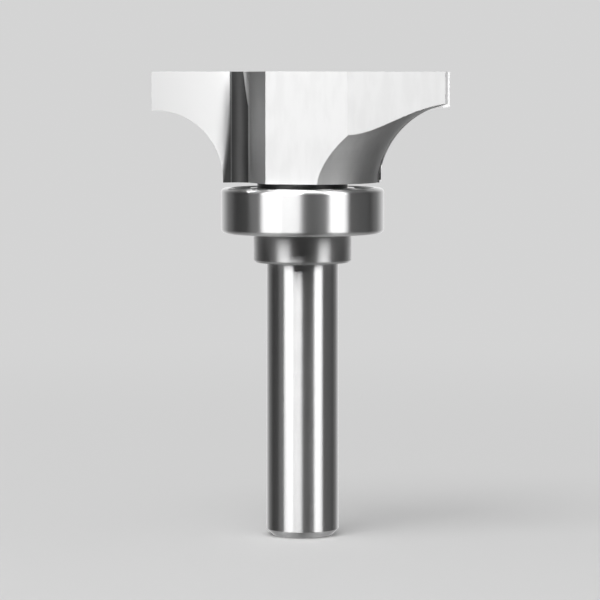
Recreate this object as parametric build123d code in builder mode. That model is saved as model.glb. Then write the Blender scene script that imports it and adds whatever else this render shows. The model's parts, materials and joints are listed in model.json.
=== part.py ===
from build123d import *
from math import cos, radians, sin, sqrt
import os

# Bullnose router bit standing on its shank, in millimetres. The origin is the centre of the shank's end,
# +Z runs up the axis to the head, and both cutting edges lie in the XZ plane.

# Shank
overall_length = 81.3
shank_diameter = 12.7
shank_end_chamfer = 1.1
relief_width = 1.0
relief_depth = 0.25
relief_overhang = 0.1

# Cutting profile, from the guide bearing outwards: a short upright edge just inside the bearing's outside,
# a quarter circle, a short level edge, and the straight edge up to the top of the head
guide_diameter = 28.575
guide_step_depth = 0.24
profile_lead_height = 0.5
profile_radius = 12.1
profile_land_depth = 0.84
head_height = 19.3

# Head: the steel stands back from the cutting profile, outwards and round the quarter circle
tip_stand_out_depth = 1.6
arc_backoff_depth = 2.6
arc_centre_offset = 0.8
hook_angle = 6
core_width = 19.3
gullet_fillet = 2.6
web_thickness = 23.26
web_flat_angle = 58.3
wing_back_width = 32.66
wing_flat_angle = 101.65

# Carbide tips, brazed into seats in the wings. Each reaches past the quarter circle towards the axis
tip_root_width = 2.3
tip_thickness = 3.0
braze_thickness = 0.12
side_relief_angle = 18
face_relief_angle = 8

# Spacer washer between the head and the bearing
spacer_wall = 1.535
spacer_thickness = 0.95
spacer_chamfer = 0.12

# Guide bearing
bearing_width = 7.938
bearing_corner_radius = 0.8
bore_chamfer = 0.35
ball_diameter = 3.969
ball_count = 10
ball_clearance = 0.02
groove_radius = 2.08
groove_depth = 0.8
shield_thickness = 0.35
shield_recess = 0.45
shield_lip_height = 0.3
shield_seat_depth = 1.0
shield_gap = 0.15

# Ribbon cage
cage_thickness = 0.35
cage_pocket_clearance = 0.06
cage_land_clearance = 0.2
rivet_diameter = 0.6
rivet_head_diameter = 1.0
rivet_head_height = 0.2

# Stop collar and its set screw
collar_wall = 2.19
collar_height = 5.1
collar_chamfer = 0.4
screw_diameter = 3.0
screw_length = 2.1
screw_clearance = 0.02
screw_chamfer = 0.2
socket_width = 1.5
socket_depth = 1.2

# Clearance of every ring that slides onto the shank
shank_clearance = 0.015

# Radii and heights that follow from the sizes above
shank_radius = shank_diameter / 2
bore_radius = shank_radius + shank_clearance
guide_radius = guide_diameter / 2
collar_radius = bore_radius + collar_wall
root_radius = guide_radius - guide_step_depth
cutting_radius = root_radius + profile_radius + profile_land_depth
steel_radius = cutting_radius - tip_stand_out_depth
steel_arc_radius = profile_radius + arc_backoff_depth
head_bottom = overall_length - head_height
bearing_top = head_bottom - spacer_thickness
bearing_middle = bearing_top - bearing_width / 2
bearing_bottom = bearing_top - bearing_width
collar_bottom = bearing_bottom - collar_height
collar_middle = bearing_bottom - collar_height / 2
gullet_wall = core_width / 2
tip_width = profile_radius + tip_root_width
reach = 2 * cutting_radius

ball_radius = ball_diameter / 2
pitch_radius = (bore_radius + guide_radius) / 2
inner_groove_bottom = pitch_radius - ball_radius - ball_clearance
outer_groove_bottom = pitch_radius + ball_radius + ball_clearance
inner_land_radius = inner_groove_bottom + groove_depth
outer_land_radius = outer_groove_bottom - groove_depth
shield_seat_radius = outer_land_radius + shield_seat_depth
shield_outer_height = bearing_width / 2 - shield_recess
shield_inner_height = shield_outer_height - shield_thickness
cage_inner_radius = inner_land_radius + cage_land_clearance
cage_outer_radius = outer_land_radius - cage_land_clearance
pocket_radius = ball_radius + cage_pocket_clearance

wing_turns = {1: 0, 2: 180}


def rake_plane(turn):
    """Rake face of the wing at this turn: x runs outwards, y up the edge and z back into the steel."""
    outwards = Vector(1, 0, 0).rotate(Axis.Z, turn + hook_angle)
    edge = Vector(cutting_radius, 0, head_bottom).rotate(Axis.Z, turn)
    return Plane(origin=edge, x_dir=outwards, z_dir=outwards.rotate(Axis.Z, -90))


def edge_point(angle):
    """Cutting edge on the rake face, at this angle round the quarter circle from the bearing."""
    radius = root_radius + profile_radius * (1 - cos(radians(angle)))
    offset = cutting_radius * sin(radians(hook_angle))
    along = sqrt(radius**2 - offset**2) - cutting_radius * cos(radians(hook_angle))
    return (along, profile_lead_height + profile_radius * sin(radians(angle)))


def relief_direction(turn):
    """Direction in which the ground faces behind a cutting edge run: back, inwards and up."""
    side = radians(side_relief_angle)
    face = radians(face_relief_angle)
    back = Vector(-sin(side) * cos(face), -cos(side) * cos(face), sin(face))
    return back.rotate(Axis.Z, turn)


def seat_prism(turn, margin):
    """Open seat behind a rake face, larger than the tip by the margin at its inner end and its back."""
    with BuildPart() as prism:
        with BuildSketch(rake_plane(turn)):
            with Locations((-tip_width - margin, 0)):
                Rectangle(reach, head_height, align=(Align.MIN, Align.MIN))
        extrude(amount=tip_thickness + margin)
    return prism.part


os.makedirs("parts", exist_ok=True)

# Turned outline of the head, from the axis to the rim
arc_x = cutting_radius + arc_centre_offset
arc_z = head_bottom - arc_centre_offset
arc_start = (arc_x - sqrt(steel_arc_radius**2 - arc_centre_offset**2), head_bottom)
arc_middle = (arc_x - steel_arc_radius / sqrt(2), arc_z + steel_arc_radius / sqrt(2))
arc_end = (steel_radius, arc_z + sqrt(steel_arc_radius**2 - (arc_x - steel_radius) ** 2))
with BuildSketch(Plane.XZ) as head_outline:
    with BuildLine():
        Polyline((0, overall_length), (0, head_bottom), arc_start)
        ThreePointArc(arc_start, arc_middle, arc_end)
        Polyline(arc_end, (steel_radius, overall_length), (0, overall_length))
    make_face()

# Gullet of the wing on +X: the rake face runs in to its root, and a wall square to it runs out again
rake_offset = cutting_radius * sin(radians(hook_angle))
with BuildSketch(Plane.XY.rotated((0, 0, hook_angle))) as gullet:
    with Locations((gullet_wall, -rake_offset)):
        Rectangle(reach, reach, align=(Align.MIN, Align.MIN))
    fillet(gullet.vertices().sort_by_distance((0, 0, 0))[0], gullet_fillet)

# Head and shank, one piece of steel. A shallow relief under the collar's lower edge parts the length that the
# collet grips from the bearing's seat
with BuildPart() as cutter_body:
    revolve(head_outline.sketch, axis=Axis.Z)
    with BuildSketch(Plane.XY.offset(head_bottom)):
        Circle(steel_radius)
        with PolarLocations(0, 2):
            add(gullet.sketch, mode=Mode.SUBTRACT)
        with PolarLocations(web_thickness / 2, 2, start_angle=web_flat_angle):
            Rectangle(reach, 2 * reach, align=(Align.MIN, Align.CENTER), mode=Mode.SUBTRACT)
        with PolarLocations(wing_back_width / 2, 2, start_angle=wing_flat_angle):
            Rectangle(reach, 2 * reach, align=(Align.MIN, Align.CENTER), mode=Mode.SUBTRACT)
    extrude(amount=head_height, mode=Mode.INTERSECT)
    for turn in wing_turns.values():
        add(seat_prism(turn, braze_thickness), mode=Mode.SUBTRACT)
    with BuildSketch():
        Circle(shank_radius)
    extrude(amount=head_bottom)
    chamfer(cutter_body.edges().group_by(Axis.Z)[0], shank_end_chamfer)
    with BuildSketch(Plane.XY.offset(collar_bottom - relief_overhang)):
        Circle(shank_radius)
        Circle(shank_radius - relief_depth, mode=Mode.SUBTRACT)
    extrude(amount=relief_width, mode=Mode.SUBTRACT)
cutter_body.part.label = "cutter_body"
export_step(cutter_body.part, "parts/cutter_body.step")

# Carbide tips: the cutting profile is true on the rake face, and the faces behind it fall away
for number, turn in wing_turns.items():
    with BuildPart() as tip:
        with BuildSketch(rake_plane(turn)):
            with BuildLine():
                edge = Spline(
                    [edge_point(angle) for angle in range(0, 91, 15)],
                    tangents=[(0, 1), (1, 0)],
                )
                Polyline(
                    edge @ 1,
                    (0, profile_lead_height + profile_radius),
                    (0, head_height),
                    (-cutting_radius, head_height),
                    (-cutting_radius, 0),
                    (edge_point(0)[0], 0),
                    edge @ 0,
                )
            make_face()
        extrude(amount=2 * tip_thickness, dir=relief_direction(turn))
        add(seat_prism(turn, 0), mode=Mode.INTERSECT)
    tip.part.label = f"carbide_tip_{number}"
    export_step(tip.part, f"parts/carbide_tip_{number}.step")

# Braze between each tip and its seat, as far as the steel reaches
for number, turn in wing_turns.items():
    with BuildPart() as braze:
        revolve(head_outline.sketch, axis=Axis.Z)
        add(seat_prism(turn, braze_thickness), mode=Mode.INTERSECT)
        add(seat_prism(turn, 0), mode=Mode.SUBTRACT)
    braze.part.label = f"braze_{number}"
    export_step(braze.part, f"parts/braze_{number}.step")

# Spacer washer
with BuildPart() as spacer_washer:
    with BuildSketch(Plane.XY.offset(bearing_top)):
        Circle(bore_radius + spacer_wall)
        Circle(bore_radius, mode=Mode.SUBTRACT)
    extrude(amount=spacer_thickness)
    rim = spacer_washer.edges().filter_by(GeomType.CIRCLE).group_by(SortBy.RADIUS)[-1]
    chamfer(rim, spacer_chamfer)
spacer_washer.part.label = "spacer_washer"
export_step(spacer_washer.part, "parts/spacer_washer.step")

# Bearing inner ring, with a groove for the balls
with BuildPart() as inner_ring:
    with BuildSketch(Plane.XY.offset(bearing_bottom)):
        Circle(inner_land_radius)
        Circle(bore_radius, mode=Mode.SUBTRACT)
    extrude(amount=bearing_width)
    chamfer(inner_ring.edges().filter_by(GeomType.CIRCLE).group_by(SortBy.RADIUS)[0], bore_chamfer)
    with BuildSketch(Plane.XZ):
        with Locations((inner_groove_bottom + groove_radius, bearing_middle)):
            Circle(groove_radius)
    revolve(axis=Axis.Z, mode=Mode.SUBTRACT)
inner_ring.part.label = "bearing_inner_ring"
export_step(inner_ring.part, "parts/bearing_inner_ring.step")

# Bearing outer ring: rounded corners outside, a groove for the balls and a seat for each shield inside
with BuildPart() as outer_ring:
    with BuildSketch(Plane.XY.offset(bearing_bottom)):
        Circle(guide_radius)
        Circle(outer_land_radius, mode=Mode.SUBTRACT)
    extrude(amount=bearing_width)
    fillet(outer_ring.edges().filter_by(GeomType.CIRCLE).group_by(SortBy.RADIUS)[-1], bearing_corner_radius)
    with BuildSketch(Plane.XZ):
        with Locations((outer_groove_bottom - groove_radius, bearing_middle)):
            Circle(groove_radius)
    revolve(axis=Axis.Z, mode=Mode.SUBTRACT)
    for side in (1, -1):
        with BuildSketch(Plane.XY.offset(bearing_middle + side * shield_inner_height)):
            Circle(shield_seat_radius)
        extrude(amount=side * bearing_width, mode=Mode.SUBTRACT)
outer_ring.part.label = "bearing_outer_ring"
export_step(outer_ring.part, "parts/bearing_outer_ring.step")

# Shields: pressed discs in the outer ring's seats, with a lip turned out along the seat's wall
for name, side in {"upper": 1, "lower": -1}.items():
    with BuildPart() as shield:
        with BuildSketch(Plane.XY.offset(bearing_middle + side * shield_inner_height)):
            Circle(shield_seat_radius)
            Circle(inner_land_radius + shield_gap, mode=Mode.SUBTRACT)
        extrude(amount=side * shield_thickness)
        with BuildSketch(Plane.XY.offset(bearing_middle + side * shield_outer_height)):
            Circle(shield_seat_radius)
            Circle(shield_seat_radius - shield_thickness, mode=Mode.SUBTRACT)
        extrude(amount=side * shield_lip_height)
    shield.part.label = f"bearing_shield_{name}"
    export_step(shield.part, f"parts/bearing_shield_{name}.step")

# Balls, spaced evenly round the pitch circle
bearing_plane = Plane.XY.offset(bearing_middle)
ball_places = [bearing_plane.location * place for place in PolarLocations(pitch_radius, ball_count)]
for number, place in enumerate(ball_places, start=1):
    with BuildPart() as ball:
        with Locations(place):
            Sphere(ball_radius)
    ball.part.label = f"ball_{number}"
    export_step(ball.part, f"parts/ball_{number}.step")

# Ribbon cage: two pressed halves that cup each ball and meet in flat webs between them
with BuildSketch(bearing_plane) as cage_band:
    Circle(cage_outer_radius)
    Circle(cage_inner_radius, mode=Mode.SUBTRACT)
with BuildSketch(bearing_plane) as rivet_holes:
    with PolarLocations(pitch_radius, ball_count, start_angle=180 / ball_count):
        Circle(rivet_diameter / 2)
for name, side in {"upper": 1, "lower": -1}.items():
    with BuildPart() as cage_half:
        with Locations(*ball_places):
            Sphere(pocket_radius + cage_thickness)
        extrude(cage_band.sketch, amount=side * bearing_width, mode=Mode.INTERSECT)
        extrude(cage_band.sketch, amount=side * cage_thickness)
        with Locations(*ball_places):
            Sphere(pocket_radius, mode=Mode.SUBTRACT)
        extrude(rivet_holes.sketch, amount=side * cage_thickness, mode=Mode.SUBTRACT)
    cage_half.part.label = f"cage_half_{name}"
    export_step(cage_half.part, f"parts/cage_half_{name}.step")

# Cage rivets, each with a head on both webs
with BuildPart() as cage_rivets:
    extrude(rivet_holes.sketch, amount=cage_thickness, both=True)
    for side in (1, -1):
        with BuildSketch(bearing_plane.offset(side * cage_thickness)):
            with PolarLocations(pitch_radius, ball_count, start_angle=180 / ball_count):
                Circle(rivet_head_diameter / 2)
        extrude(amount=side * rivet_head_height)
cage_rivets.part.label = "cage_rivets"
export_step(cage_rivets.part, "parts/cage_rivets.step")

# Stop collar, drilled through one side for its set screw
screw_plane = Plane(origin=(0, shank_radius, collar_middle), x_dir=(1, 0, 0), z_dir=(0, 1, 0))
with BuildPart() as stop_collar:
    with BuildSketch(Plane.XY.offset(collar_bottom)):
        Circle(collar_radius)
        Circle(bore_radius, mode=Mode.SUBTRACT)
    extrude(amount=collar_height)
    chamfer(stop_collar.edges().filter_by(GeomType.CIRCLE).group_by(SortBy.RADIUS)[-1], collar_chamfer)
    with BuildSketch(screw_plane):
        Circle(screw_diameter / 2 + screw_clearance)
    extrude(amount=collar_radius, mode=Mode.SUBTRACT)
stop_collar.part.label = "stop_collar"
export_step(stop_collar.part, "parts/stop_collar.step")

# Set screw: its point bears on the shank, and its hexagon socket faces outwards
with BuildPart() as set_screw:
    with BuildSketch(screw_plane):
        Circle(screw_diameter / 2)
    extrude(amount=screw_length)
    chamfer(set_screw.edges().filter_by(GeomType.CIRCLE), screw_chamfer)
    with BuildSketch(screw_plane.offset(screw_length)):
        RegularPolygon(socket_width / 2, 6, major_radius=False)
    extrude(amount=-socket_depth, mode=Mode.SUBTRACT)
set_screw.part.label = "set_screw"
export_step(set_screw.part, "parts/set_screw.step")
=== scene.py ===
import json
from math import asin, cos, hypot, pi, radians, sin, sqrt

import bpy
from mathutils import Matrix, Vector


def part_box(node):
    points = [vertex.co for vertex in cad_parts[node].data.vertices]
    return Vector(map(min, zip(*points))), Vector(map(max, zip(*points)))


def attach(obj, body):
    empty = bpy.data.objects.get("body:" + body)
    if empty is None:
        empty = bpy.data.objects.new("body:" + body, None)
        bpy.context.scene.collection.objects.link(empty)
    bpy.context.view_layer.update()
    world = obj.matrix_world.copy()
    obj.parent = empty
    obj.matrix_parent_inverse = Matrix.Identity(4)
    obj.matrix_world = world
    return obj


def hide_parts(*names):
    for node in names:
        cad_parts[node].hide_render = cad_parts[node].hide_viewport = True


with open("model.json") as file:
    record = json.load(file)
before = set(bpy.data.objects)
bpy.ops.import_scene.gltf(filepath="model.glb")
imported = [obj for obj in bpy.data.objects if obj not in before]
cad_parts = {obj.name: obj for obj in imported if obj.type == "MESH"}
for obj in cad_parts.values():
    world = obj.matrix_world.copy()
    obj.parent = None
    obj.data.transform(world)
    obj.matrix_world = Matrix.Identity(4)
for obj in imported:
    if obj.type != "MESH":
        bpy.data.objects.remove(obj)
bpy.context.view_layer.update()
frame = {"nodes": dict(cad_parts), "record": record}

MM = 0.001
UP = Vector((0, 0, 1))


# Sizes, read from the frame where it holds them

def low(node):
    """Lowest corner of a solid's box."""
    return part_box(node)[0]


def high(node):
    """Highest corner of a solid's box."""
    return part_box(node)[1]


mounts = {mount["name"]: mount for mount in frame["record"]["mounts"]}

SHANK_RADIUS = mounts["shank"]["dims"]["r_mm"] * MM
SHANK_CHAMFER = 1.1 * MM
SHANK_RELIEF_START = SHANK_CHAMFER + mounts["shank"]["dims"]["length_mm"] * MM
SHANK_RELIEF_WIDTH = 1.0 * MM
SHANK_RELIEF_DEPTH = 0.25 * MM

HEAD_TOP = high("cutter_body").z
HEAD_BOTTOM = low("carbide_tip_1").z
CUTTING_RADIUS = high("carbide_tip_1").x
GUIDE_RADIUS = high("bearing_outer_ring").x
GUIDE_STEP = 0.24 * MM
ROOT_RADIUS = GUIDE_RADIUS - GUIDE_STEP
PROFILE_LEAD = 0.5 * MM
PROFILE_RADIUS = 12.1 * MM
TIP_STAND_OUT = 1.6 * MM
STEEL_RADIUS = CUTTING_RADIUS - TIP_STAND_OUT
STEEL_ARC_CLEARANCE = 2.6 * MM
STEEL_ARC_RADIUS = PROFILE_RADIUS + STEEL_ARC_CLEARANCE
STEEL_ARC_SHIFT = 0.8 * MM
STEEL_ARC_CENTRE = (CUTTING_RADIUS + STEEL_ARC_SHIFT, HEAD_BOTTOM - STEEL_ARC_SHIFT)

HOOK = radians(6)
RAKE_OFFSET = CUTTING_RADIUS * sin(HOOK)
GULLET_WALL = 9.65 * MM
GULLET_FILLET = 2.6 * MM

# Middle of a gullet's fillet, along the rake face and square to it
GULLET_ROOT = (GULLET_WALL + GULLET_FILLET, GULLET_FILLET - RAKE_OFFSET)

# Flats on the web and behind the wings: distance from the axis and direction
WEB_FLAT = (11.63 * MM, radians(58.3))
WING_FLAT = (16.33 * MM, radians(101.65))

TIP_WIDTH = 14.4 * MM
TIP_THICKNESS = 3.0 * MM
SIDE_RELIEF = radians(18)
FACE_RELIEF = radians(8)
SEAT_LEAD = 0.5 * MM
BRAZE = 0.12 * MM

# Bead of braze: its radius at the top, how much of that it gains at its foot and how sharply, and how far
# below the top of the head it stops
BRAZE_BEAD = 0.22 * MM
BRAZE_SPREAD = 0.8
BRAZE_SPREAD_POWER = 4
BRAZE_BEAD_STOP = 0.05 * MM

SHANK_CLEARANCE = 0.015 * MM
BORE_RADIUS = SHANK_RADIUS + SHANK_CLEARANCE
BORE_CHAMFER = 0.35 * MM
BEARING_TOP = high("bearing_outer_ring").z
BEARING_BOTTOM = low("bearing_outer_ring").z
BEARING_MIDDLE = (BEARING_TOP + BEARING_BOTTOM) / 2
BEARING_CORNER = 0.8 * MM
INNER_LAND = high("bearing_inner_ring").x
SHIELD_SEAT = high("bearing_shield_upper").x
SHIELD_GAP = 0.15 * MM
SHIELD_SHEET = 0.35 * MM
SHIELD_LIP_TOP = high("bearing_shield_upper").z
SHIELD_INNER = low("bearing_shield_upper").z
SHIELD_SEAT_DEPTH = 1.0 * MM
OUTER_LAND = SHIELD_SEAT - SHIELD_SEAT_DEPTH

COLLAR_RADIUS = high("stop_collar").x
COLLAR_TOP = high("stop_collar").z
COLLAR_BOTTOM = low("stop_collar").z
COLLAR_CHAMFER = 0.4 * MM
SCREW_RADIUS = 1.5 * MM
SCREW_CHAMFER = 0.2 * MM
SCREW_CLEARANCE = 0.02 * MM
SCREW_START = low("set_screw").y
SCREW_END = high("set_screw").y
SCREW_HEIGHT = (COLLAR_TOP + COLLAR_BOTTOM) / 2
SOCKET_WIDTH = 1.5 * MM
SOCKET_DEPTH = 1.2 * MM

# Fineness of the meshes
TURN_STEPS = 256
HOLLOW_STEPS = 48
FILLET_STEPS = 24
CORNER_STEPS = 8
CUTTING_EDGE_STEPS = 30
BEAD_STEPS = 40
BEAD_FINENESS = 3
HOLE_STEPS = 64
EDGE_BREAK = 0.06 * MM
EDGE_BREAK_SEGMENTS = 3
BREAK_ANGLE = radians(20)
SMOOTH_ANGLE = radians(24)
WELD = 0.0005 * MM
CUT_WELD = 0.03 * MM
OVERCUT = 1.0 * MM
CUT_HEIGHT = HEAD_TOP - HEAD_BOTTOM + 2 * OVERCUT


# Modelling helpers

def select_sharp_edges(angle):
    """Selects the edges where the faces turn by more than this angle."""
    bpy.ops.mesh.select_mode(type="EDGE")
    bpy.ops.mesh.select_all(action="DESELECT")
    bpy.ops.mesh.edges_select_sharp(sharpness=angle)


def break_edges(obj, width, crisp):
    """Rounds off the sharp edges of a piece in edit mode, but for those that lie where it stays crisp."""
    select_sharp_edges(BREAK_ANGLE)
    bpy.ops.object.mode_set(mode="OBJECT")
    mesh = obj.data
    weights = mesh.attributes.new("bevel_weight_edge", "FLOAT", "EDGE").data
    for edge, weight in zip(mesh.edges, weights):
        ends = [mesh.vertices[index].co for index in edge.vertices]
        weight.value = float(edge.select and not (crisp and all(crisp(end) for end in ends)))
    bevel = obj.modifiers.new("edge_break", "BEVEL")
    bevel.width = width
    bevel.segments = EDGE_BREAK_SEGMENTS
    bevel.limit_method = "WEIGHT"
    bpy.ops.object.modifier_apply(modifier=bevel.name)
    bpy.ops.object.mode_set(mode="EDIT")


def finish_mesh(obj, name, edge_break=0.0, crisp=None):
    """Turns faces outwards, breaks edges, shades smooth between sharp edges and leaves edit mode."""
    bpy.ops.mesh.select_all(action="SELECT")
    bpy.ops.mesh.remove_doubles(threshold=WELD)
    bpy.ops.mesh.normals_make_consistent(inside=False)
    obj.name = name
    if edge_break:
        break_edges(obj, edge_break, crisp)
    bpy.ops.mesh.customdata_custom_splitnormals_clear()
    bpy.ops.mesh.select_all(action="SELECT")
    bpy.ops.mesh.faces_shade_smooth()
    bpy.ops.mesh.mark_sharp(clear=True)
    select_sharp_edges(SMOOTH_ANGLE)
    bpy.ops.mesh.mark_sharp()
    bpy.ops.object.mode_set(mode="OBJECT")
    flats_win = obj.modifiers.new("flats_win", "WEIGHTED_NORMAL")
    flats_win.keep_sharp = True
    bpy.ops.object.modifier_apply(modifier=flats_win.name)
    return obj


def draw(points, closed=False):
    """A new object in edit mode that holds a chain of edges through the points."""
    bpy.ops.object.select_all(action="DESELECT")
    bpy.ops.mesh.primitive_plane_add(size=MM, location=(0, 0, 0), enter_editmode=True)
    bpy.ops.mesh.select_mode(type="VERT")
    bpy.ops.mesh.merge(type="CENTER")
    bpy.ops.transform.translate(value=points[0])
    corners = list(points) + ([points[0]] if closed else [])
    for here, there in zip(corners, corners[1:]):
        bpy.ops.mesh.extrude_vertices_move(TRANSFORM_OT_translate={"value": there - here})
    bpy.ops.mesh.select_all(action="SELECT")
    bpy.ops.mesh.remove_doubles(threshold=WELD)
    return bpy.context.object


def turned(name, outline, edge_break=0.0, closed=True):
    """A turned piece: the outline, given as (radius, height) pairs, spun round the axis."""
    obj = draw([Vector((radius, 0, height)) for radius, height in outline], closed)
    bpy.ops.mesh.select_all(action="SELECT")
    bpy.ops.mesh.spin(steps=TURN_STEPS, angle=2 * pi, center=(0, 0, 0), axis=(0, 0, 1))
    return finish_mesh(obj, name, edge_break)


def prism(name, outline, along):
    """A straight-sided block: a closed outline, filled and extruded along a vector."""
    obj = draw(outline, closed=True)
    bpy.ops.mesh.select_all(action="SELECT")
    bpy.ops.mesh.edge_face_add()
    bpy.ops.mesh.extrude_region_move(TRANSFORM_OT_translate={"value": along})
    return finish_mesh(obj, name)


def slice_off(obj, point, outwards):
    """Cuts away what lies beyond a plane and closes the cut."""
    bpy.context.view_layer.objects.active = obj
    bpy.ops.object.mode_set(mode="EDIT")
    bpy.ops.mesh.select_all(action="SELECT")
    bpy.ops.mesh.bisect(plane_co=point, plane_no=outwards, use_fill=True, clear_outer=True, threshold=WELD)
    bpy.ops.object.mode_set(mode="OBJECT")


def carve(obj, cutter):
    """Removes the cutter's volume from the piece, and then the cutter."""
    cut = obj.modifiers.new("carve", "BOOLEAN")
    cut.operation = "DIFFERENCE"
    cut.solver = "EXACT"
    cut.object = cutter
    bpy.context.view_layer.objects.active = obj
    bpy.ops.object.modifier_apply(modifier=cut.name)
    bpy.data.objects.remove(cutter)


def arc(centre, radius, start, end, steps):
    """Points on a circle in the outline's plane, from one angle to another."""
    angles = [start + (end - start) * step / steps for step in range(steps + 1)]
    return [(centre[0] + radius * cos(a), centre[1] + radius * sin(a)) for a in angles]


def turned_about(vector, turn):
    """The vector, turned round the axis of the bit."""
    return Matrix.Rotation(turn, 3, "Z") @ Vector(vector)


# Wiring of shader nodes

class Wiring:
    """Adds nodes to one node tree and joins them."""

    def __init__(self, tree):
        self.tree = tree
        tree.nodes.clear()

    def node(self, kind, **settings):
        node = self.tree.nodes.new(kind)
        for name, value in settings.items():
            setattr(node, name, value)
        return node

    def feed(self, socket, value):
        """Gives a socket a number or a colour, or joins another socket to it."""
        if isinstance(value, bpy.types.NodeSocket):
            self.tree.links.new(value, socket)
        else:
            socket.default_value = value

    def math(self, operation, *values):
        node = self.node("ShaderNodeMath", operation=operation)
        for socket, value in zip(node.inputs, values):
            self.feed(socket, value)
        return node.outputs["Value"]

    def fade(self, value, start, end, lowest=0.0, highest=1.0, shape="SMOOTHSTEP"):
        """Runs from the lowest to the highest while the value goes from start to end."""
        node = self.node("ShaderNodeMapRange", interpolation_type=shape)
        for name, given in (
            ("Value", value),
            ("From Min", start),
            ("From Max", end),
            ("To Min", lowest),
            ("To Max", highest),
        ):
            self.feed(node.inputs[name], given)
        return node.outputs["Result"]

    def mix(self, share, first, second):
        """The first value, or the second as far as the share goes."""
        node = self.node("ShaderNodeMix", data_type="FLOAT")
        for name, given in (("Factor", share), ("A", first), ("B", second)):
            self.feed(node.inputs[name], given)
        return node.outputs["Result"]

    def product(self, *values):
        """Product of any number of values."""
        result = values[0]
        for value in values[1:]:
            result = self.math("MULTIPLY", result, value)
        return result

    def near(self, distance):
        """1 on a surface and 0 off it, from the distance to it."""
        return self.fade(self.math("ABSOLUTE", distance), SURFACE_FAR, SURFACE_NEAR)

    def grey(self, socket, value):
        """Gives a colour socket a grey that varies."""
        colour = self.node("ShaderNodeCombineColor")
        for channel in ("Red", "Green", "Blue"):
            self.feed(colour.inputs[channel], value)
        self.feed(socket, colour.outputs["Color"])

    def length(self, first, second):
        """Length of the vector with these two sides."""
        squares = [self.math("MULTIPLY", side, side) for side in (first, second)]
        return self.math("SQRT", self.math("ADD", *squares))

    def place(self):
        """Object coordinates, along X, Y and Z."""
        split = self.node("ShaderNodeSeparateXYZ")
        self.feed(split.inputs["Vector"], self.node("ShaderNodeTexCoord").outputs["Object"])
        return split.outputs

    def noise(self, scale, detail, stretch):
        """Noise on Object coordinates, stretched along the axes."""
        mapping = self.node("ShaderNodeMapping")
        self.feed(mapping.inputs["Vector"], self.node("ShaderNodeTexCoord").outputs["Object"])
        mapping.inputs["Scale"].default_value = stretch
        noise = self.node("ShaderNodeTexNoise")
        self.feed(noise.inputs["Vector"], mapping.outputs["Vector"])
        noise.inputs["Scale"].default_value = scale
        noise.inputs["Detail"].default_value = detail
        return noise.outputs["Fac"]


# Materials

# Share of a full turn that draws the gloss out across the lines that a tool left
ACROSS_THE_LINES = 0.25

# Patterns of noise: how they are stretched along X, Y and Z, how many fit in a metre, their detail, and
# which part of the noise counts
RINGS = (0.01, 0.01, 1)
CLOUDS = (1, 1, 0.2)
SHORT_CLOUDS = (1, 1, 0.3)
CLOUD_SCALE = 900
SHORT_CLOUD_SCALE = 500
POLISH_SCALE = 3000
GRINDING_SCALE = 5000
TURNING_SCALE = 7000
NOISE_DETAIL = 4
GRINDING_DETAIL = 3
NOISE_SPAN = (0.25, 0.75)
BODY_NOISE_SPAN = (0.3, 0.7)

GRINDING_GROOVE = 0.0002 * MM
TURNING_GROOVE = 0.002 * MM

# How near to a surface counts as on it, and from where as off it
SURFACE_NEAR = 0.03 * MM
SURFACE_FAR = 0.08 * MM

# Finishes of the cutter body: lowest and highest grey, lowest and highest roughness, and how softly one
# finish runs into the next
BODY_GREY = {
    "flats": (0.62, 0.65),
    "shank": (0.95, 0.97),
    "hollow": (0.6, 0.64),
    # The root of a gullet is dull, and its dark grey is painted shade
    "shaded gullet root": (0.1, 0.11),
    "gullet wall": (0.7, 0.72),
}
BODY_ROUGHNESS = {
    "flats": (0.29, 0.31),
    "shank": (0.282, 0.3),
    "hollow": (0.93, 1.0),
    "shaded gullet root": (0.95, 1.0),
    "gullet wall": (0.95, 1.0),
}
FINISH_EDGE = 0.3 * MM

# Dull root of a gullet, darkened with painted shade: it leaves the wall bare from this far below the top,
# and by this much at the top
ROOT_SHADE_RUNOUT_HEIGHT = 6 * MM
ROOT_SHADE_RUNOUT = 0.55 * MM

CARBIDE_GREY = 0.75
CARBIDE_ROUGHNESS = (0.29, 0.31)

# Painted dark reflection on the inner part of a carbide tip's rake face: its border along the face at the
# top, how much farther out that lies at the foot, half the width of its soft edge, its grey and its
# roughness
DARK_REFLECTION_BORDER = 12.25 * MM
DARK_REFLECTION_SPREAD = 1.7 * MM
DARK_REFLECTION_SOFT = 0.5 * MM
DARK_REFLECTION_GREY = 0.13
DARK_REFLECTION_ROUGHNESS = 1.0


def new_metal(name, grain=0.0):
    """A metal, with its gloss drawn out across the fine lines that a tool left round the axis."""
    material = bpy.data.materials.new(name)
    material.use_nodes = True
    wiring = Wiring(material.node_tree)
    shader = wiring.node("ShaderNodeBsdfPrincipled")
    shader.inputs["Metallic"].default_value = 1.0
    if grain:
        shader.inputs["Anisotropic"].default_value = grain
        shader.inputs["Anisotropic Rotation"].default_value = ACROSS_THE_LINES
        round_axis = wiring.node("ShaderNodeTangent", direction_type="RADIAL", axis="Z")
        wiring.feed(shader.inputs["Tangent"], round_axis.outputs["Tangent"])
    output = wiring.node("ShaderNodeOutputMaterial")
    wiring.feed(output.inputs["Surface"], shader.outputs["BSDF"])
    return material, wiring, shader


def add_grooves(wiring, shader, height, depth):
    """Fine grooves in the surface, as deep as this where the height is 1."""
    bump = wiring.node("ShaderNodeBump")
    bump.inputs["Strength"].default_value = 1.0
    bump.inputs["Distance"].default_value = depth
    wiring.feed(bump.inputs["Height"], height)
    wiring.feed(shader.inputs["Normal"], bump.outputs["Normal"])


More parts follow.
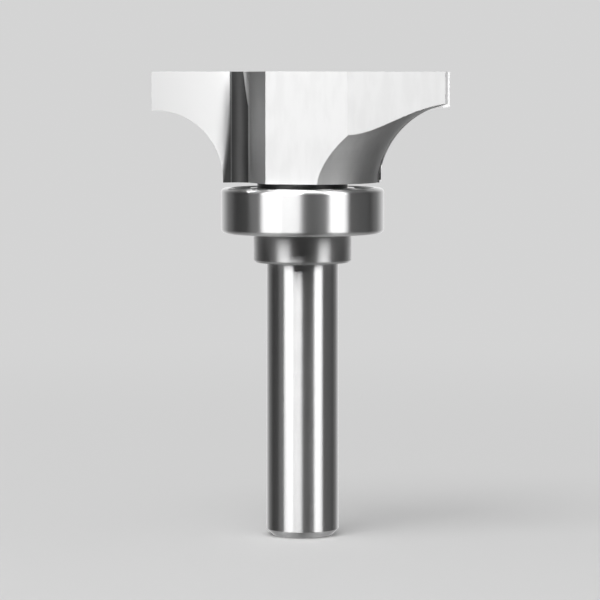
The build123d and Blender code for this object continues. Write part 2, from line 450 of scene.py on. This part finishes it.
def plain_metal(name, grey, roughness, grain=0.0, stretch=CLOUDS, scale=CLOUD_SCALE, groove=0.0, wear=0.15):
    """Metal of one grey, with clouds of wear or the fine rings of a lathe tool in its gloss."""
    material, wiring, shader = new_metal(name, grain)
    shader.inputs["Base Color"].default_value = (grey, grey, grey, 1)
    texture = wiring.noise(scale, NOISE_DETAIL, stretch)
    gloss = wiring.fade(texture, *NOISE_SPAN, roughness * (1 - wear), roughness * (1 + wear))
    wiring.feed(shader.inputs["Roughness"], gloss)
    if groove:
        add_grooves(wiring, shader, texture, groove)
    return material


def plan_of_wing(wiring, x, y):
    """Distances along a wing's rake face and square to it, for either wing, as wing_place takes them."""
    outwards = [wiring.math("MULTIPLY", x, cos(HOOK)), wiring.math("MULTIPLY", y, sin(HOOK))]
    sideways = [wiring.math("MULTIPLY", x, -sin(HOOK)), wiring.math("MULTIPLY", y, cos(HOOK))]
    along = wiring.math("ADD", *outwards)
    across = wiring.math("MULTIPLY", wiring.math("ADD", *sideways), wiring.math("SIGN", along))
    return wiring.math("ABSOLUTE", along), across


def carbide_metal():
    """Ground carbide, with a painted dark reflection, dull and dark, on the inner foot of its rake face."""
    material, wiring, shader = new_metal("ground_carbide", 1.0)
    x, y, z = wiring.place()
    along, across = plan_of_wing(wiring, x, y)
    fall = wiring.fade(z, HEAD_TOP, HEAD_BOTTOM, shape="LINEAR")
    spread = wiring.product(fall, fall, DARK_REFLECTION_SPREAD)
    past = wiring.math("SUBTRACT", wiring.math("SUBTRACT", along, DARK_REFLECTION_BORDER), spread)
    on_rake = wiring.near(wiring.math("ADD", across, RAKE_OFFSET))
    # Painted dark reflection: darker and duller over the inner part of the rake face, reaching farther out
    # towards the foot
    dark_reflection = wiring.product(wiring.fade(past, DARK_REFLECTION_SOFT, -DARK_REFLECTION_SOFT), on_rake)
    gloss = wiring.fade(wiring.noise(CLOUD_SCALE, NOISE_DETAIL, CLOUDS), *NOISE_SPAN, *CARBIDE_ROUGHNESS)
    wiring.grey(shader.inputs["Base Color"], wiring.mix(dark_reflection, CARBIDE_GREY, DARK_REFLECTION_GREY))
    wiring.feed(shader.inputs["Roughness"], wiring.mix(dark_reflection, gloss, DARK_REFLECTION_ROUGHNESS))
    return material


def on_arc(wiring, across, up, centre, radius):
    """Whether a point lies on a cylinder or a turned arc of this radius round this centre."""
    sides = [wiring.math("SUBTRACT", place, middle) for place, middle in zip((across, up), centre)]
    return wiring.near(wiring.math("SUBTRACT", wiring.length(*sides), radius))


def body_areas(wiring):
    """Where the cutter body has each finish but that of its flats, and where shade is painted into the root
    of each gullet. A later area covers an earlier one.
    """
    x, y, z = wiring.place()
    along, across = plan_of_wing(wiring, x, y)
    root_along, root_across = GULLET_ROOT
    on_head = wiring.fade(z, HEAD_BOTTOM - FINISH_EDGE, HEAD_BOTTOM)
    on_shank = wiring.fade(z, HEAD_BOTTOM, HEAD_BOTTOM - FINISH_EDGE)
    on_hollow = on_arc(wiring, wiring.length(x, y), z, STEEL_ARC_CENTRE, STEEL_ARC_RADIUS)

    on_fillet = on_arc(wiring, along, across, GULLET_ROOT, GULLET_FILLET)
    # Painted shade: the dull fillet at the root of each gullet, darkened
    root_shade = wiring.product(
        wiring.math("SUBTRACT", on_fillet, on_hollow),
        wiring.fade(along, root_along + FINISH_EDGE, root_along - FINISH_EDGE),
        wiring.fade(across, root_across + FINISH_EDGE, root_across - FINISH_EDGE),
        on_head,
    )
    root_shade = wiring.math("MAXIMUM", root_shade, 0.0)

    on_wall = wiring.product(
        wiring.near(wiring.math("SUBTRACT", along, GULLET_WALL)),
        wiring.fade(across, root_across - FINISH_EDGE, root_across),
        on_head,
    )
    # Where the painted shade of the root gives way to the bare wall, farther out towards the top
    runout = wiring.fade(z, HEAD_TOP - ROOT_SHADE_RUNOUT_HEIGHT, HEAD_TOP, 0.0, ROOT_SHADE_RUNOUT, "LINEAR")
    from_border = wiring.math("SUBTRACT", along, runout)
    near_wall = wiring.fade(from_border, GULLET_WALL + FINISH_EDGE / 2, GULLET_WALL + FINISH_EDGE / 5)
    on_wall = wiring.math("MAXIMUM", on_wall, wiring.product(root_shade, near_wall))
    return {"shank": on_shank, "hollow": on_hollow, "shaded gullet root": root_shade, "gullet wall": on_wall}


def cutter_body_metal():
    """Steel of the cutter body: ground flats, a turned hollow, the gullets with painted shade in their
    roots, and a polished shank.
    """
    material, wiring, shader = new_metal("cutter_body_steel", 1.0)
    areas = body_areas(wiring)
    clouds = wiring.fade(wiring.noise(SHORT_CLOUD_SCALE, NOISE_DETAIL, SHORT_CLOUDS), *BODY_NOISE_SPAN)
    rings = wiring.fade(wiring.noise(GRINDING_SCALE, GRINDING_DETAIL, RINGS), *BODY_NOISE_SPAN)

    def finish(texture, ranges):
        """A value that the texture varies within the range of the finish at each place."""
        value = wiring.fade(texture, 0.0, 1.0, *ranges["flats"])
        for area, share in areas.items():
            value = wiring.mix(share, value, wiring.fade(texture, 0.0, 1.0, *ranges[area]))
        return value

    wiring.grey(shader.inputs["Base Color"], finish(clouds, BODY_GREY))
    wiring.feed(shader.inputs["Roughness"], finish(rings, BODY_ROUGHNESS))
    add_grooves(wiring, shader, rings, GRINDING_GROOVE)
    return material


POLISHED = {"stretch": RINGS, "scale": POLISH_SCALE, "wear": 0.015}
TURNED = {"stretch": RINGS, "scale": TURNING_SCALE, "groove": TURNING_GROOVE}

MATERIALS = {
    "head": cutter_body_metal(),
    "carbide": carbide_metal(),
    "bearing": plain_metal("bearing_steel", grey=0.95, roughness=0.287, grain=1.0, **POLISHED),
    "collar": plain_metal("collar_steel", grey=0.72, roughness=0.4, grain=0.9, **TURNED),
    "spacer": plain_metal("spacer_steel", grey=0.12, roughness=0.35, grain=0.5, **TURNED),
    "shield": plain_metal("shield_steel", grey=0.7, roughness=0.32, wear=0.08),
    "pressed": plain_metal("pressed_steel", grey=0.6, roughness=0.35),
    "screw": plain_metal("black_screw_steel", grey=0.05, roughness=0.4),
    "braze bead": plain_metal("silver_braze", grey=0.45, roughness=0.4),
    "braze layer": plain_metal("stained_braze", grey=0.1, roughness=0.8),
}

# Finishes of the solids that keep their own mesh, by the slots of their materials
SOLID_FINISHES = {"braze": "braze layer", "ball_steel": "bearing", "cage_steel": "pressed"}


def dress(obj, material, body, node=None):
    """Gives a finished piece its material and its body, and hides the solid that it stands for, if it does.
    """
    obj.data.materials.clear()
    obj.data.materials.append(MATERIALS[material])
    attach(obj, body)
    if node:
        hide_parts(node)


# Cutter body

def wing_place(along, across, turn):
    """Place in plan, from distances along a wing's rake face and square to it."""
    x = along * cos(HOOK) - across * sin(HOOK)
    y = along * sin(HOOK) + across * cos(HOOK)
    return turned_about((x, y, 0), turn)


def gullet_outline(turn):
    """Gullet of a wing in plan: along the rake face, round its root and out again."""
    reach = 2 * CUTTING_RADIUS
    outline = arc(GULLET_ROOT, GULLET_FILLET, pi, 3 * pi / 2, FILLET_STEPS)
    outline += [(reach, -RAKE_OFFSET), (reach, reach), (GULLET_WALL, reach)]
    return [wing_place(along, across, turn) for along, across in outline]


def in_hollow(point):
    """Whether a point lies on the turned hollow of the head."""
    centre_x, centre_z = STEEL_ARC_CENTRE
    section = hypot(hypot(point.x, point.y) - centre_x, point.z - centre_z)
    return point.z > HEAD_BOTTOM - CUT_WELD and abs(section - STEEL_ARC_RADIUS) < CUT_WELD


def build_cutter_body():
    """Head and shank, turned from one bar, with the flats, gullets and seats cut away."""
    centre_x, centre_z = STEEL_ARC_CENTRE
    start = pi - asin((HEAD_BOTTOM - centre_z) / STEEL_ARC_RADIUS)
    end = pi / 2 + asin((centre_x - STEEL_RADIUS) / STEEL_ARC_RADIUS)
    relief_end = SHANK_RELIEF_START + SHANK_RELIEF_WIDTH
    outline = [
        (0, 0),
        (SHANK_RADIUS - SHANK_CHAMFER, 0),
        (SHANK_RADIUS, SHANK_CHAMFER),
        (SHANK_RADIUS, SHANK_RELIEF_START),
        (SHANK_RADIUS - SHANK_RELIEF_DEPTH, SHANK_RELIEF_START),
        (SHANK_RADIUS - SHANK_RELIEF_DEPTH, relief_end),
        (SHANK_RADIUS, relief_end),
        (SHANK_RADIUS, HEAD_BOTTOM),
    ]
    outline += arc(STEEL_ARC_CENTRE, STEEL_ARC_RADIUS, start, end, HOLLOW_STEPS)
    outline += [(STEEL_RADIUS, HEAD_TOP), (0, HEAD_TOP)]
    body = turned("cutter_body_steel", outline, closed=False)
    for distance, angle in (WEB_FLAT, WING_FLAT):
        for turn in (0, pi):
            outwards = turned_about((cos(angle), sin(angle), 0), turn)
            slice_off(body, outwards * distance, outwards)
    for turn in (0, pi):
        gullet = [place + UP * (HEAD_BOTTOM - OVERCUT) for place in gullet_outline(turn)]
        carve(body, prism("gullet", gullet, UP * CUT_HEIGHT))
        carve(body, seat_block(turn))
    bpy.context.view_layer.objects.active = body
    bpy.ops.object.mode_set(mode="EDIT")
    bpy.ops.mesh.select_all(action="SELECT")
    bpy.ops.mesh.remove_doubles(threshold=CUT_WELD)
    finish_mesh(body, "cutter_body_steel", EDGE_BREAK, crisp=in_hollow)
    dress(body, "head", "bit", "cutter_body")


# Carbide tips

def centre_on_axis(obj):
    """Lets the lines of grinding run round the axis of the bit on a piece that stands beside it."""
    mesh = obj.data
    mesh.use_auto_texspace = False
    mesh.texspace_location = (0, 0, HEAD_TOP / 2)
    mesh.texspace_size = (CUTTING_RADIUS, CUTTING_RADIUS, HEAD_TOP / 2)


def rake_frame(turn):
    """Cutting edge's foot, and the directions outwards and back into the steel, of a wing."""
    outwards = turned_about((cos(HOOK), sin(HOOK), 0), turn)
    foot = turned_about((CUTTING_RADIUS, 0, HEAD_BOTTOM), turn)
    return foot, outwards, outwards.cross(UP)


def seat_block(turn):
    """Block that clears a tip's seat in the steel, with room for braze at its inner end and its back."""
    foot, outwards, back = rake_frame(turn)
    corner = foot - UP * OVERCUT - back * SEAT_LEAD
    inner = corner - outwards * (TIP_WIDTH + BRAZE)
    outer = corner + outwards * TIP_WIDTH
    depth = back * (SEAT_LEAD + TIP_THICKNESS + BRAZE)
    return prism("seat", [inner, outer, outer + depth, inner + depth], UP * CUT_HEIGHT)


def edge_point(angle):
    """Cutting edge on the rake face: outward place and height, at this angle round the quarter circle."""
    radius = ROOT_RADIUS + PROFILE_RADIUS * (1 - cos(angle))
    along = sqrt(radius**2 - RAKE_OFFSET**2) - CUTTING_RADIUS * cos(HOOK)
    return along, PROFILE_LEAD + PROFILE_RADIUS * sin(angle)


def build_carbide_tip(number, turn):
    """Tip drawn back from its rake face at the relief angles, and cut to thickness, width and height."""
    foot, outwards, back = rake_frame(turn)
    steps = CUTTING_EDGE_STEPS
    edge = [edge_point(pi / 2 * step / steps) for step in range(steps + 1)]
    height = HEAD_TOP - HEAD_BOTTOM
    edge += [(0, edge[-1][1]), (0, height)]
    edge += [(-CUTTING_RADIUS, height), (-CUTTING_RADIUS, 0), (edge[0][0], 0)]
    outline = [foot + outwards * along + UP * rise for along, rise in edge]
    side, face = SIDE_RELIEF, FACE_RELIEF
    relief = turned_about((-sin(side) * cos(face), -cos(side) * cos(face), sin(face)), turn)
    tip = prism(f"carbide_tip_{number}_ground", outline, relief * 2 * TIP_THICKNESS)
    slice_off(tip, foot + back * TIP_THICKNESS, back)
    slice_off(tip, foot - outwards * TIP_WIDTH, -outwards)
    slice_off(tip, Vector((0, 0, HEAD_TOP)), UP)
    bpy.ops.object.mode_set(mode="EDIT")
    finish_mesh(tip, tip.name)
    centre_on_axis(tip)
    dress(tip, "carbide", "bit", f"carbide_tip_{number}")


def build_braze_seam(number, turn):
    """Bead of braze that ran out where a tip leaves the hollow of the steel."""
    centre_x, centre_z = STEEL_ARC_CENTRE
    rise = sqrt(STEEL_ARC_RADIUS**2 - (centre_x - STEEL_RADIUS) ** 2)
    top = centre_z + rise
    inner = CUTTING_RADIUS * cos(HOOK) - TIP_WIDTH
    back = RAKE_OFFSET + TIP_THICKNESS
    seam = []
    for step in range(BEAD_STEPS + 1):
        height = HEAD_BOTTOM + (top - HEAD_BOTTOM) * step / BEAD_STEPS
        radius = centre_x - sqrt(STEEL_ARC_RADIUS**2 - (height - centre_z) ** 2)
        along = max(inner, sqrt(radius**2 - back**2))
        seam.append(wing_place(along, -sqrt(radius**2 - along**2), turn) + UP * height)
    seam.append(seam[-1] + UP * (HEAD_TOP - BRAZE_BEAD_STOP - top))
    draw(seam)
    bpy.ops.object.mode_set(mode="OBJECT")
    bpy.ops.object.convert(target="CURVE")
    curve = bpy.context.object.data
    for point in curve.splines[0].points:
        share = (point.co.z - HEAD_BOTTOM) / (HEAD_TOP - HEAD_BOTTOM)
        point.radius = 1 + BRAZE_SPREAD * (1 - share) ** BRAZE_SPREAD_POWER
    curve.bevel_depth = BRAZE_BEAD
    curve.bevel_resolution = BEAD_FINENESS
    curve.use_fill_caps = True
    bpy.ops.object.convert(target="MESH")
    bead = bpy.context.object
    bpy.ops.object.mode_set(mode="EDIT")
    finish_mesh(bead, f"braze_seam_{number}")
    dress(bead, "braze bead", "bit")


# Guide bearing

def build_outer_ring():
    """Polished ring with rounded corners and a seat for each shield. Its ball groove is never seen."""
    shield_offset = SHIELD_INNER - BEARING_MIDDLE
    corner = BEARING_CORNER
    middle = GUIDE_RADIUS - corner
    outline = arc((middle, BEARING_BOTTOM + corner), corner, -pi / 2, 0, CORNER_STEPS)
    outline += arc((middle, BEARING_TOP - corner), corner, 0, pi / 2, CORNER_STEPS)
    outline += [
        (SHIELD_SEAT, BEARING_TOP),
        (SHIELD_SEAT, BEARING_MIDDLE + shield_offset),
        (OUTER_LAND, BEARING_MIDDLE + shield_offset),
        (OUTER_LAND, BEARING_MIDDLE - shield_offset),
        (SHIELD_SEAT, BEARING_MIDDLE - shield_offset),
        (SHIELD_SEAT, BEARING_BOTTOM),
    ]
    ring = turned("guide_ring_polished", outline)
    dress(ring, "bearing", "outer_race", "bearing_outer_ring")


def build_inner_ring():
    """Ring on the shank, with chamfers at its bore. Its ball groove is never seen."""
    outline = [
        (BORE_RADIUS, BEARING_BOTTOM + BORE_CHAMFER),
        (BORE_RADIUS + BORE_CHAMFER, BEARING_BOTTOM),
        (INNER_LAND, BEARING_BOTTOM),
        (INNER_LAND, BEARING_TOP),
        (BORE_RADIUS + BORE_CHAMFER, BEARING_TOP),
        (BORE_RADIUS, BEARING_TOP - BORE_CHAMFER),
    ]
    ring = turned("inner_ring_polished", outline, EDGE_BREAK)
    dress(ring, "bearing", "bit", "bearing_inner_ring")


def build_shield(name, side):
    """Pressed sheet ring with an upright lip, on the upper side (1) or the lower (-1)."""
    inner = INNER_LAND + SHIELD_GAP
    rise = SHIELD_INNER - BEARING_MIDDLE
    lip = SHIELD_LIP_TOP - BEARING_MIDDLE
    outline = [
        (inner, rise),
        (SHIELD_SEAT, rise),
        (SHIELD_SEAT, lip),
        (SHIELD_SEAT - SHIELD_SHEET, lip),
        (SHIELD_SEAT - SHIELD_SHEET, rise + SHIELD_SHEET),
        (inner, rise + SHIELD_SHEET),
    ]
    outline = [(radius, BEARING_MIDDLE + side * height) for radius, height in outline]
    shield = turned(f"shield_{name}_pressed", outline, EDGE_BREAK)
    dress(shield, "shield", "outer_race", f"bearing_shield_{name}")


# Spacer, collar and set screw

def build_spacer():
    """Washer between the head and the bearing."""
    outer = high("spacer_washer").x
    outline = [
        (BORE_RADIUS, HEAD_BOTTOM),
        (BORE_RADIUS, BEARING_TOP),
        (outer, BEARING_TOP),
        (outer, HEAD_BOTTOM),
    ]
    spacer = turned("spacer_washer_steel", outline, EDGE_BREAK)
    dress(spacer, "spacer", "bit", "spacer_washer")


def build_collar():
    """Chamfered collar with a hole for its set screw, on the side away from the camera."""
    outline = [
        (BORE_RADIUS, COLLAR_TOP),
        (BORE_RADIUS, COLLAR_BOTTOM),
        (COLLAR_RADIUS - COLLAR_CHAMFER, COLLAR_BOTTOM),
        (COLLAR_RADIUS, COLLAR_BOTTOM + COLLAR_CHAMFER),
        (COLLAR_RADIUS, COLLAR_TOP - COLLAR_CHAMFER),
        (COLLAR_RADIUS - COLLAR_CHAMFER, COLLAR_TOP),
    ]
    collar = turned("stop_collar_turned", outline)
    bpy.ops.object.select_all(action="DESELECT")
    bpy.ops.mesh.primitive_cylinder_add(
        vertices=HOLE_STEPS,
        radius=SCREW_RADIUS + SCREW_CLEARANCE,
        depth=COLLAR_RADIUS,
        location=(0, COLLAR_RADIUS, SCREW_HEIGHT),
        rotation=(pi / 2, 0, 0),
    )
    carve(collar, bpy.context.object)
    bpy.ops.object.mode_set(mode="EDIT")
    finish_mesh(collar, "stop_collar_turned", EDGE_BREAK)
    dress(collar, "collar", "bit", "stop_collar")


def build_set_screw():
    """Screw with a hexagon socket, made upright at the origin and then laid into its hole."""
    length = SCREW_END - SCREW_START
    outline = [
        (0, 0),
        (SCREW_RADIUS - SCREW_CHAMFER, 0),
        (SCREW_RADIUS, SCREW_CHAMFER),
        (SCREW_RADIUS, length - SCREW_CHAMFER),
        (SCREW_RADIUS - SCREW_CHAMFER, length),
        (0, length),
    ]
    screw = turned("set_screw_black", outline, closed=False)
    bpy.ops.object.select_all(action="DESELECT")
    bpy.ops.mesh.primitive_cylinder_add(
        vertices=6,
        radius=SOCKET_WIDTH / 2 / cos(pi / 6),
        depth=2 * SOCKET_DEPTH,
        location=(0, 0, length),
    )
    carve(screw, bpy.context.object)
    screw.select_set(True)
    screw.rotation_euler = (-pi / 2, 0, 0)
    screw.location = (0, SCREW_START, SCREW_HEIGHT)
    bpy.ops.object.transform_apply(location=True, rotation=True, scale=True)
    bpy.ops.object.mode_set(mode="EDIT")
    finish_mesh(screw, "set_screw_black", EDGE_BREAK)
    dress(screw, "screw", "bit", "set_screw")


# Solids that keep their own mesh

def dress_solids():
    """Gives the braze layers, the balls and the cage their finish."""
    for subpart in frame["record"]["subparts"]:
        finish = SOLID_FINISHES.get(subpart["material_slot"])
        if finish:
            node = frame["nodes"][subpart["node"]]
            node.data.materials.clear()
            node.data.materials.append(MATERIALS[finish])


# Studio

# Camera, with its focal length and the bit's place across the picture in pixels of the photograph
CAMERA_AZIMUTH = radians(-15.2)
CAMERA_DISTANCE = 548.2 * MM
CAMERA_BELOW_TOP = 0.35 * MM
CAMERA_PITCH = radians(4.134)
FOCAL_PIXELS = 3132.6
AXIS_PIXEL = 302.5
FRAME_PIXELS = 600
SENSOR_WIDTH = 36
NEAREST_SEEN = 0.01
FARTHEST_SEEN = 20

# Light and dark panels round the bit that only its metal mirrors. Each has the direction of its middle,
# half its width and half the width of its soft edge, in degrees to the right of the camera, its lower end
# in degrees over the horizon, and its brightness
PANELS = {
    "left box": (-46, 15.5, 2.5, 4, 3.55),
    "right box": (53.2, 13.8, 3.2, 4, 3.6),
    "box overhead": (0, 58, 8, 36, 0.75),
    "dim ceiling": (0, 180, 1, 32, 0.19),
    "paper behind": (180, 29, 29, -90, 1.0),
    "haze behind": (180, 64, 8, -90, 0.12),
    "grey card in front": (15, 16, 6, -90, 0.03),
    "grey card on the left": (-72, 10, 4, -90, 0.12),
    "grey card on the right": (88, 24, 8, -90, 0.06),
}

# Half the width of the soft edge at a panel's lower end, in degrees, and the brightness between panels
PANEL_END = 3
DARK_ROOM = 0.02

# Table that the metal mirrors from below: its brightness in front and at the sides, from where to where it
# changes, and the height of its soft edge and half the width of that, in degrees
TABLE_FRONT = 0.05
TABLE_SIDE = 0.33
TABLE_FRONT_END = 20
TABLE_SIDE_START = 60
TABLE_EDGE = -29
TABLE_EDGE_SOFT = 11

# Light on all that isn't mirrored, backdrop behind the bit, and the floor, which fades into the backdrop
SOFT_LIGHT = 0.8
BACKDROP = 0.66
FLOOR_GREY = 0.63
FLOOR_RADIUS = 4
FLOOR_CORNERS = 96
FLOOR_FADE_START = 0.05
FLOOR_FADE_END = 0.4

# High lamp that the metal mirrors as a stripe: direction, height over the horizon, distance, size, power
LAMP_AZIMUTH = radians(-18)
LAMP_RISE = radians(45.5)
LAMP_DISTANCE = 3
LAMP_WIDTH = 1.2
LAMP_HEIGHT = 1.1
LAMP_WATTS = 64

# Lamp that only gives the shadow on the floor
SHADOW_LAMP_PLACE = Vector((-0.4, -0.3, 0.9))
SHADOW_LAMP_WIDTH = 0.6
SHADOW_LAMP_WATTS = 3


def build_camera():
    """The photograph's view: level with the top of the head and looking slightly down."""
    back = Vector((sin(CAMERA_AZIMUTH), -cos(CAMERA_AZIMUTH), 0))
    place = back * CAMERA_DISTANCE + UP * (HEAD_TOP - CAMERA_BELOW_TOP)
    bpy.ops.object.camera_add(location=place, rotation=(pi / 2 - CAMERA_PITCH, 0, CAMERA_AZIMUTH))
    camera = bpy.context.object
    camera.data.sensor_width = SENSOR_WIDTH
    camera.data.lens = SENSOR_WIDTH * FOCAL_PIXELS / FRAME_PIXELS
    camera.data.shift_x = (FRAME_PIXELS / 2 - AXIS_PIXEL) / FRAME_PIXELS
    camera.data.clip_start = NEAREST_SEEN
    camera.data.clip_end = FARTHEST_SEEN
    bpy.context.scene.camera = camera


def build_world():
    """The room: panels and a table that only metal mirrors, soft light on all else, and a pale backdrop."""
    world = bpy.data.worlds.new("studio")
    bpy.context.scene.world = world
    world.use_nodes = True
    wiring = Wiring(world.node_tree)
    swing = wiring.node("ShaderNodeMapping", vector_type="POINT")
    swing.inputs["Rotation"].default_value = (0, 0, -CAMERA_AZIMUTH)
    wiring.feed(swing.inputs["Vector"], wiring.node("ShaderNodeTexCoord").outputs["Generated"])
    split = wiring.node("ShaderNodeSeparateXYZ")
    wiring.feed(split.inputs["Vector"], swing.outputs["Vector"])
    ahead = wiring.math("MULTIPLY", split.outputs["Y"], -1.0)
    azimuth = wiring.math("ARCTAN2", split.outputs["X"], ahead)
    rise = wiring.math("ARCSINE", split.outputs["Z"])

    def past(value, limit, soft):
        """Whether a value is past a limit in degrees, with a soft edge."""
        return wiring.fade(value, radians(limit - soft), radians(limit + soft), shape="LINEAR")

    def aside(middle):
        """Angle between a direction and the middle of a panel."""
        turn = wiring.math("SUBTRACT", azimuth, radians(middle))
        return wiring.math("ABSOLUTE", wiring.math("WRAP", turn, pi, -pi))

    level = DARK_ROOM
    for middle, half, soft, start, brightness in PANELS.values():
        outside, inside = radians(half + soft), radians(half - soft)
        panel = wiring.fade(aside(middle), outside, inside, 0.0, brightness, "LINEAR")
        panel = wiring.math("MULTIPLY", panel, past(rise, start, PANEL_END))
        level = wiring.math("MAXIMUM", level, panel)
    front_end, side_start = radians(TABLE_FRONT_END), radians(TABLE_SIDE_START)
    table = wiring.fade(aside(0), front_end, side_start, TABLE_FRONT, TABLE_SIDE)
    level = wiring.mix(past(rise, TABLE_EDGE, TABLE_EDGE_SOFT), table, level)

    rays = wiring.node("ShaderNodeLightPath").outputs
    shown = wiring.mix(rays["Is Glossy Ray"], SOFT_LIGHT, level)
    shown = wiring.mix(rays["Is Camera Ray"], shown, BACKDROP)
    background = wiring.node("ShaderNodeBackground")
    wiring.feed(background.inputs["Color"], shown)
    output = wiring.node("ShaderNodeOutputWorld")
    wiring.feed(output.inputs["Surface"], background.outputs["Background"])
    world.cycles.sampling_method = "NONE"


def build_floor():
    """Pale floor that keeps the shadow near the bit and runs out into the backdrop, unseen by the metal."""
    bpy.ops.object.select_all(action="DESELECT")
    bpy.ops.mesh.primitive_circle_add(
        vertices=FLOOR_CORNERS,
        radius=FLOOR_RADIUS,
        fill_type="NGON",
        location=(0, 0, 0),
    )
    floor = bpy.context.object
    floor.name = "floor"
    material = bpy.data.materials.new("pale_floor")
    material.use_nodes = True
    wiring = Wiring(material.node_tree)
    x, y, _ = wiring.place()
    paper = wiring.node("ShaderNodeBsdfDiffuse")
    paper.inputs["Color"].default_value = (FLOOR_GREY, FLOOR_GREY, FLOOR_GREY, 1)
    far_paper = wiring.node("ShaderNodeEmission")
    far_paper.inputs["Color"].default_value = (BACKDROP, BACKDROP, BACKDROP, 1)
    clear = wiring.node("ShaderNodeBsdfTransparent")
    rays = wiring.node("ShaderNodeLightPath").outputs
    surface = paper.outputs["BSDF"]
    distance = wiring.length(x, y)
    for share, other in (
        (wiring.fade(distance, FLOOR_FADE_START, FLOOR_FADE_END), far_paper.outputs["Emission"]),
        (rays["Is Glossy Ray"], clear.outputs["BSDF"]),
    ):
        mix = wiring.node("ShaderNodeMixShader")
        wiring.feed(mix.inputs["Fac"], share)
        wiring.feed(mix.inputs[1], surface)
        wiring.feed(mix.inputs[2], other)
        surface = mix.outputs["Shader"]
    output = wiring.node("ShaderNodeOutputMaterial")
    wiring.feed(output.inputs["Surface"], surface)
    floor.data.materials.append(material)


def add_lamp(name, place, shape, width, height, watts):
    """Soft lamp that faces the middle of the bit."""
    bpy.ops.object.light_add(type="AREA", location=place)
    lamp = bpy.context.object
    lamp.name = name
    lamp.data.shape = shape
    lamp.data.size = width
    lamp.data.size_y = height
    lamp.data.energy = watts
    lamp.rotation_euler = (UP * HEAD_TOP / 2 - place).to_track_quat("-Z", "Y").to_euler()
    lamp.visible_camera = False
    return lamp


def build_lamps():
    """A high lamp that only the metal mirrors, and a faint one that only gives the shadow on the floor."""
    azimuth = CAMERA_AZIMUTH + LAMP_AZIMUTH
    level = Vector((sin(azimuth), -cos(azimuth), 0))
    place = (level * cos(LAMP_RISE) + UP * sin(LAMP_RISE)) * LAMP_DISTANCE
    high_lamp = add_lamp("high lamp", place, "RECTANGLE", LAMP_WIDTH, LAMP_HEIGHT, LAMP_WATTS)
    high_lamp.visible_diffuse = False
    width = SHADOW_LAMP_WIDTH
    shadow_lamp = add_lamp("shadow lamp", SHADOW_LAMP_PLACE, "ELLIPSE", width, width, SHADOW_LAMP_WATTS)
    shadow_lamp.visible_glossy = False


build_cutter_body()
for number, turn in ((1, 0), (2, pi)):
    build_carbide_tip(number, turn)
    build_braze_seam(number, turn)
build_outer_ring()
build_inner_ring()
for name, side in (("upper", 1), ("lower", -1)):
    build_shield(name, side)
build_spacer()
build_collar()
build_set_screw()
dress_solids()
build_floor()
build_world()
build_lamps()
build_camera()

bpy.context.scene.view_settings.view_transform = "Standard"
